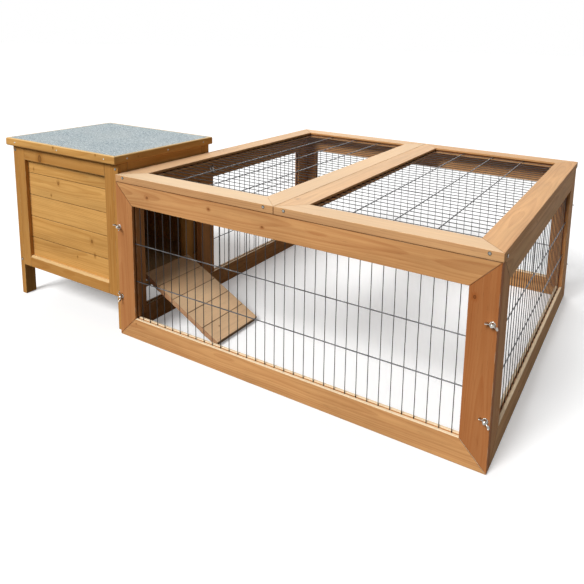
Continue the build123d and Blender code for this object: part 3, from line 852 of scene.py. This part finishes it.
def wing(bm, matrix):
    """One rounded wing of a wing nut, drawn in millimetres."""
    outline = [
        (3.4, 1.2), (7.8, 2.2), (11.8, 4.6), (14.0, 7.8), (14.4, 11.2), (13.7, 13.6),
        (12.2, 14.3), (10.6, 13.2), (8.6, 10.4), (6.0, 8.2), (3.4, 7.2),
    ]
    half = 1.2
    rounding = 0.9
    part = bmesh.new()
    front = [part.verts.new((x, -half, z)) for x, z in outline]
    back = [part.verts.new((x, half, z)) for x, z in outline]
    part.faces.new(front)
    part.faces.new(back[::-1])
    count = len(outline)
    for step in range(count):
        follow = (step + 1) % count
        part.faces.new((front[follow], front[step], back[step], back[follow]))
    bmesh.ops.recalc_face_normals(part, faces=part.faces)
    rim = [edge for edge in part.edges if abs(edge.verts[0].co.y - edge.verts[1].co.y) < 0.01]
    bmesh.ops.bevel(
        part, geom=rim, offset=rounding, segments=3, profile=0.5, affect="EDGES", clamp_overlap=True,
    )
    bmesh.ops.transform(part, matrix=matrix @ Matrix.Scale(0.001, 4), verts=part.verts)
    merge(bm, part)


def merge(bm, part):
    """Copy one bmesh into another and free it."""
    part.verts.index_update()
    copies = [bm.verts.new(v.co) for v in part.verts]
    for face in part.faces:
        bm.faces.new([copies[v.index] for v in face.verts])
    part.free()


def wing_nut_piece(node, material):
    """Wing nuts: a flange, a tapered hub and two rounded wings."""
    shell = Shell()
    for solid in solids(node):
        low, high = extent(solid)
        centre = (low + high) / 2
        outward = nut_direction(centre)
        axis = [abs(part) for part in outward].index(1)
        base = centre.copy()
        base[axis] = low[axis] if outward[axis] > 0 else high[axis]
        upright = standing(base, outward)
        local = [upright.inverted() @ v.co for v in solid.verts]
        far = max(local, key=lambda p: math.hypot(p.x, p.y))
        tips = [p for p in local if math.hypot(p.x, p.y) > 0.97 * math.hypot(far.x, far.y) and p.dot(far) > 0]
        turn = math.atan2(sum(p.y for p in tips), sum(p.x for p in tips))
        matrix = standing(base, outward, turn)
        bm = bmesh.new()
        profile = [
            (0, 0), (0.0062, 0), (0.0065, 0.0003), (0.0065, 0.0012), (0.0061, 0.0016),
            (0.005, 0.0018), (0.0049, 0.0026), (0.0045, 0.0068), (0.0042, 0.0075), (0, 0.0075),
        ]
        lathe(bm, profile, matrix, 28)
        wing(bm, matrix)
        wing(bm, matrix @ Matrix.Rotation(math.pi, 4, "Z"))
        shell.take(bm)
        solid.free()
    return dress(shell.build(node + "_set", material, smooth=40), node)


def nut_direction(centre):
    """Which way a wing nut at a place points: out of the front, out of the back, or along X."""
    low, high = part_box("front_top_rail")[0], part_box("back_rails")[1]
    if centre.y < low.y:
        return Vector((0, -1, 0))
    if centre.y > high.y:
        return Vector((0, 1, 0))
    return Vector((1, 0, 0))


def collar(bm, low, centre, width):
    """A round spacer between hutch and run."""
    turned = Matrix.Rotation(math.pi / 2, 4, "Y")
    place = Matrix.Translation(Vector((low.x, centre.y, centre.z))) @ turned
    profile = [(0, 0), (COLLAR_FACE, 0), (COLLAR_RADIUS, COLLAR_EDGE)]
    profile += [(COLLAR_RADIUS, width - COLLAR_EDGE), (COLLAR_FACE, width), (0, width)]
    lathe(bm, profile, place, 28)


def threaded_bolt(bm, tip, outward, length):
    """A bolt with a chamfered tip and threads behind it."""
    profile = [(0, 0), (0.0022, 0), (0.0029, -0.0007)]
    place = -0.0007
    while place > -THREAD_REACH:
        profile += [(BOLT_RADIUS, place - 0.0002), (THREAD_BOTTOM, place - 0.0005)]
        profile += [(BOLT_RADIUS, place - 0.0008)]
        place -= THREAD_PITCH
    profile += [(BOLT_RADIUS, -length), (0, -length)]
    lathe(bm, profile[::-1], standing(tip, outward), 20)


def bolt_piece(node, material):
    """The bolts, and the collars between hutch and run."""
    shell = Shell()
    for solid in solids(node):
        low, high = extent(solid)
        size = high - low
        centre = (low + high) / 2
        axis = max(range(3), key=lambda place: size[place])
        solid.free()
        bm = bmesh.new()
        if size[axis] < LONGEST_COLLAR:
            collar(bm, low, centre, size.x)
        else:
            outward = nut_direction(centre) if axis == X else Vector((0, -1 if centre.y < 0 else 1, 0))
            tip = centre.copy()
            tip[axis] = high[axis] if outward[axis] > 0 else low[axis]
            threaded_bolt(bm, tip, outward, size[axis])
        shell.take(bm)
    return dress(shell.build(node + "_set", material, smooth=30), node)


def leaf_screws(bm, leaf, chance):
    """Three screw heads on a hinge leaf that lies on a back rail, between its knuckle and its end."""
    low, high = extent(leaf)
    crest = [v.co.z for v in leaf.verts if v.co.y > high.y - KNUCKLE_CREST]
    knuckle = sum(crest) / len(crest)
    end = low.z if knuckle - low.z > high.z - knuckle else high.z
    near = knuckle + math.copysign(KNUCKLE_REACH, end - knuckle)
    face = low.y + LEAF_THICKNESS + LEAF_SCREW_PROUD
    for share in (0.2, 0.5, 0.8):
        point = Vector((low.x + share * (high.x - low.x), face, (near + end) / 2))
        matrix = standing(point, (0, 1, 0), chance.uniform(0, math.pi))
        screw_head(bm, matrix, LEAF_SCREW, LEAF_SCREW_HEIGHT, 18)


def hinge_piece(node, material):
    """Hinge leaves with softened edges and their screw heads, or hinge pins."""
    shell = Shell()
    chance = random.Random(node)
    for leaf in solids(node):
        low, high = extent(leaf)
        size = high - low
        heads_only = bmesh.new()
        if "leaves" in node and size.y < LEAF_SWELL < size.z:
            leaf_screws(heads_only, leaf, chance)
        round_edges(leaf, LEAF_EDGE, 1, lambda edge: edge.calc_length() > SHORTEST_LEAF_EDGE)
        merge(leaf, heads_only)
        shell.take(leaf)
    return dress(shell.build(node + "_set", material), node)


def felt_piece(node, material):
    """A sheet of roofing felt, with its top uneven from the granules."""
    low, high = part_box(node)
    chance = random.Random(node)
    bm = bmesh.new()
    columns = int((high.x - low.x) / GRANULE)
    rows = int((high.y - low.y) / GRANULE)
    top = []
    for row in range(rows + 1):
        line = []
        for column in range(columns + 1):
            x = low.x + (high.x - low.x) * column / columns
            y = low.y + (high.y - low.y) * row / rows
            line.append(bm.verts.new((x, y, high.z - chance.uniform(0, GRANULE_DEPTH))))
        top.append(line)
    for near, far in zip(top, top[1:]):
        for column in range(columns):
            bm.faces.new((near[column], near[column + 1], far[column + 1], far[column]))
    rim = top[0] + [line[-1] for line in top[1:]] + top[-1][-2::-1] + [line[0] for line in top[-2:0:-1]]
    base = [bm.verts.new((v.co.x, v.co.y, low.z)) for v in rim]
    for step in range(len(rim)):
        follow = (step + 1) % len(rim)
        bm.faces.new((rim[follow], rim[step], base[step], base[follow]))
    bm.faces.new(base[::-1])
    shell = Shell()
    shell.take(bm)
    return dress(shell.build(node + "_sheet", material), node)


def ramp_axes():
    """Along, across and through a ramp plank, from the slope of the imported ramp."""
    bm = solids("ramp_planks")[0]
    face = max(bm.faces, key=lambda f: f.calc_area() * (f.normal.z > 0.5))
    through = face.normal.copy()
    bm.free()
    along = Vector((0, 1, 0))
    return along, along.cross(through), through


def shrunk(points, amount):
    """A closed outline moved inwards by an amount."""
    moved = []
    for before, point, after in zip(points[-1:] + points[:-1], points, points[1:] + points[:1]):
        first = (Vector(point) - Vector(before)).normalized()
        second = (Vector(after) - Vector(point)).normalized()
        inward = Vector((-first.y - second.y, first.x + second.x)).normalized()
        lean = max(0.5, inward.dot(Vector((-first.y, first.x))))
        moved.append(tuple(Vector(point) + inward * amount / lean))
    return moved


def trim_section(width, height):
    """A roof trim's section, from its outer face inwards: a rounded nose and a rebate on top."""
    points = []
    for step in range(NOSE_STEPS + 1):
        angle = math.pi + math.pi / 2 * step / NOSE_STEPS
        points.append((NOSE_RADIUS * (1 + math.cos(angle)), NOSE_RADIUS * (1 + math.sin(angle))))
    points += [(width - TRIM_EDGE, 0), (width, TRIM_EDGE)]
    points += [(width, height - TRIM_POCKET), (TRIM_LIP, height - TRIM_POCKET)]
    points += [(TRIM_LIP, height - TRIM_EDGE), (TRIM_LIP - TRIM_EDGE, height)]
    for step in range(NOSE_STEPS + 1):
        angle = math.pi / 2 + math.pi / 2 * step / NOSE_STEPS
        points.append((NOSE_RADIUS * (1 + math.cos(angle)), height - NOSE_RADIUS * (1 - math.sin(angle))))
    return points


def trim_solid(node):
    """A mitred roof trim, swept along its box with its nose outwards."""
    low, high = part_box(node)
    size = high - low
    across = X if size.x < size.y else Y
    felt_low, felt_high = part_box("roof_felt")
    starts_outside = low[across] + high[across] < felt_low[across] + felt_high[across]
    outer = low[across] if starts_outside else high[across]
    inward = 1 if starts_outside else -1
    section = trim_section(size[across], size.z)
    inner = shrunk(section, TRIM_EDGE)
    bm = bmesh.new()
    rings = []
    cuts = ((inner, 0, False), (section, TRIM_EDGE, False), (section, TRIM_EDGE, True), (inner, 0, True))
    for outline, gap, from_end in cuts:
        ring = []
        for v, w in outline:
            point = Vector((0, 0, low.z + w))
            point[across] = outer + inward * v
            point[Y - across] = high[Y - across] - v - gap if from_end else low[Y - across] + v + gap
            ring.append(bm.verts.new(point))
        rings.append(ring)
    for first, second in zip(rings, rings[1:]):
        bridge(bm, first, second)
    bm.faces.new(rings[0][::-1])
    bm.faces.new(rings[-1])
    bmesh.ops.recalc_face_normals(bm, faces=bm.faces)
    return bm


LID_SEATS = ("front_top_rail", "back_rails", "right_rails", "left_rails")
GROOVED_BELOW = ("front_bottom_rail", "back_rails", "right_rails", "left_rails")

# The knots that can be seen, each as a place in millimetres and a radius
KNOTS = {
    "front_top_rail": [((122, 0, 432), 3.4), ((341, 0, 438), 2.6), ((509, 0, 423), 2.4)],
    "front_right_stile": [((1031, 0, 378), 3.4)],
    "hutch_front_frame": [((-360, 14, 476), 12.5)],
    "hutch_front_planks": [
        ((-412, 30, 434), 2.8), ((-292, 30, 405), 5.5), ((-330, 30, 360), 3.0),
        ((-146, 30, 245), 6.0), ((-135, 30, 203), 4.0), ((-217, 30, 181), 2.6),
    ],
    "roof_front_trim": [((-271, 0, 524), 3.0), ((-81, 0, 526), 2.6)],
    "right_lid_inner_rail": [((555, 85, 480), 3.4)],
}


# Boards

run_wood = wood_material(
    "run_wood", tint("#d5a069"), tint("#a86a3d"), tint("#f3dcb9"), tint("#964a1a"), tint("#4a2812"),
    roughness=0.62, knot_squeeze=0.8,
)
hutch_wood = wood_material(
    "hutch_wood", tint("#daa761"), tint("#ad7434"), tint("#e8cf9c"), tint("#95591a"), tint("#4f2f12"),
    roughness=0.62, knot_squeeze=1.5,
)
veneer = wood_material(
    "veneer", tint("#dcbf93"), tint("#b98f5d"), tint("#ead7b4"), tint("#9a6d3e"), tint("#6a4526"),
    roughness=0.6, knot_squeeze=1.0,
)
coated_wire = wire_material()
zinc = zinc_material()
mineral_felt = felt_material()

RUN_TONES = {
    "front_top_rail": 0.0,
    "front_bottom_rail": -0.05,
    "front_left_stile": -0.42,
    "front_right_stile": -0.62,
    "back_rails": 0.0,
    "back_stiles": -0.15,
    "right_rails": 0.1,
    "right_stiles": -0.15,
    "left_rails": -0.1,
    "left_stiles": -0.15,
    "left_mid_stile": -0.2,
    # The ramp is made lighter: painted light for sun falling on it through the mesh
    "ramp_planks": 0.42,
    "ramp_battens": 0.3,
}
for lid in ("left_lid", "right_lid"):
    for side in ("front", "back", "outer", "inner"):
        RUN_TONES[f"{lid}_{side}_rail"] = 0.05
HUTCH_TONES = {
    "hutch_front_frame": -0.46,
    "hutch_front_planks": 0.0,
    "hutch_back_frame": -0.3,
    "hutch_back_planks": 0.0,
    "hutch_left_rails": -0.25,
    "hutch_left_planks": 0.0,
    "hutch_right_rails": -0.3,
    "hutch_doorway_jambs": -0.3,
    "hutch_doorway_plank": 0.0,
    "hutch_floor_bearers": 0.0,
    "hutch_post_front_left": -0.42,
    "hutch_post_front_right": -0.4,
    "hutch_post_back_left": -0.25,
    "hutch_post_back_right": -0.25,
}


slope = ramp_axes()
for node, tone in RUN_TONES.items():
    if node == "ramp_planks":
        wood_piece(node, run_wood, PLANK_EDGE, tone, slope, wild_knots=2.0)
    elif node == "ramp_battens":
        wood_piece(node, run_wood, BOARD_EDGE, tone, slope)
    else:
        wood_piece(node, run_wood, BOARD_EDGE, tone)
for node, tone in HUTCH_TONES.items():
    edge = PLANK_EDGE if "plank" in node else BOARD_EDGE
    wood_piece(node, hutch_wood, edge, tone)
for side in ("front", "back", "left", "right"):
    node = f"roof_{side}_trim"
    wood_piece(node, hutch_wood, tone=-0.15, shapes=[trim_solid(node)])
wood_piece("hutch_floor", veneer, PLYWOOD_EDGE, wild_knots=0.0)
wood_piece("roof_deck", veneer, PLYWOOD_EDGE, wild_knots=0.0)

# Wire, felt and fittings

mesh_piece("front_mesh", coated_wire, Z, X, 2, (0, -1, 0))
mesh_piece("back_mesh", coated_wire, Z, X, 2, (0, 1, 0))
mesh_piece("right_mesh", coated_wire, Z, Y, 2, (1, 0, 0))
mesh_piece("left_mesh", coated_wire, Z, Y, 2, (-1, 0, 0))
mesh_piece("left_lid_mesh", coated_wire, X, Y, 3, (0, 0, 1))
mesh_piece("right_lid_mesh", coated_wire, X, Y, 3, (0, 0, 1))
felt_piece("roof_felt", mineral_felt)
for node in ("left_lid_screws", "right_lid_screws", "hutch_screws"):
    screw_piece(node, zinc)
nail_piece("roof_nails", zinc)
wing_nut_piece("wing_nuts", zinc)
bolt_piece("clamp_bolts", zinc)
for node in ("hinge_fixed_leaves", "hinge_pins", "roof_hinge_leaves", "left_lid_hinge_leaves",
             "right_lid_hinge_leaves", "ramp_hinge_leaves"):
    hinge_piece(node, zinc)


# Floor, light and camera

def make_floor():
    """A wide round floor just under the object."""
    bm = bmesh.new()
    bmesh.ops.create_circle(bm, cap_ends=True, segments=96, radius=FLOOR_RADIUS)
    mesh = bpy.data.meshes.new("floor")
    bm.to_mesh(mesh)
    bm.free()
    mesh.materials.append(floor_material())
    floor = bpy.data.objects.new("floor", mesh)
    floor.location.z = -FLOOR_DROP
    bpy.context.scene.collection.objects.link(floor)


def make_sun(name, towards, strength, softness):
    """A soft distant lamp. towards is where it stands, seen from the object."""
    lamp = bpy.data.lights.new(name, "SUN")
    lamp.energy = strength
    lamp.angle = math.radians(softness)
    obj = bpy.data.objects.new(name, lamp)
    obj.rotation_euler = Vector(towards).to_track_quat("Z", "Y").to_euler()
    bpy.context.scene.collection.objects.link(obj)


def make_world():
    """A plain pale surround: brighter where it is seen than as light on surfaces."""
    world = bpy.data.worlds.new("studio")
    world.use_nodes = True
    tree = world.node_tree
    tree.nodes.clear()
    seen = tree.nodes.new("ShaderNodeLightPath")
    share = seen.outputs["Is Camera Ray"]
    for ray in ("Is Glossy Ray", "Is Transmission Ray"):
        most = tree.nodes.new("ShaderNodeMath")
        most.operation = "MAXIMUM"
        tree.links.new(share, most.inputs[0])
        tree.links.new(seen.outputs[ray], most.inputs[1])
        share = most.outputs[0]
    mix = tree.nodes.new("ShaderNodeMixShader")
    tree.links.new(share, mix.inputs[0])
    for place, strength in ((1, SKY_ON_SURFACES), (2, SKY_SEEN)):
        sky = tree.nodes.new("ShaderNodeBackground")
        sky.inputs["Color"].default_value = (1.0, 1.0, 1.0, 1.0)
        sky.inputs["Strength"].default_value = strength
        tree.links.new(sky.outputs[0], mix.inputs[place])
    out = tree.nodes.new("ShaderNodeOutputWorld")
    tree.links.new(mix.outputs[0], out.inputs["Surface"])
    bpy.context.scene.world = world


def make_camera():
    """The photograph's point of view, worked out from the corners of the boards."""
    lens = bpy.data.cameras.new("view")
    lens.sensor_width = SENSOR_WIDTH
    lens.lens = LENS_LENGTH
    lens.shift_x, lens.shift_y = LENS_SHIFT
    lens.clip_start = NEAREST_SEEN
    obj = bpy.data.objects.new("view", lens)
    obj.location = CAMERA_PLACE
    obj.rotation_euler = [math.radians(angle) for angle in CAMERA_TURN]
    bpy.context.scene.collection.objects.link(obj)
    bpy.context.scene.camera = obj


make_floor()
make_sun("key", KEY_PLACE, KEY_STRENGTH, KEY_SOFTNESS)
make_sun("back", BACK_PLACE, BACK_STRENGTH, BACK_SOFTNESS)
make_world()
make_camera()
bpy.context.scene.view_settings.view_transform = "Standard"
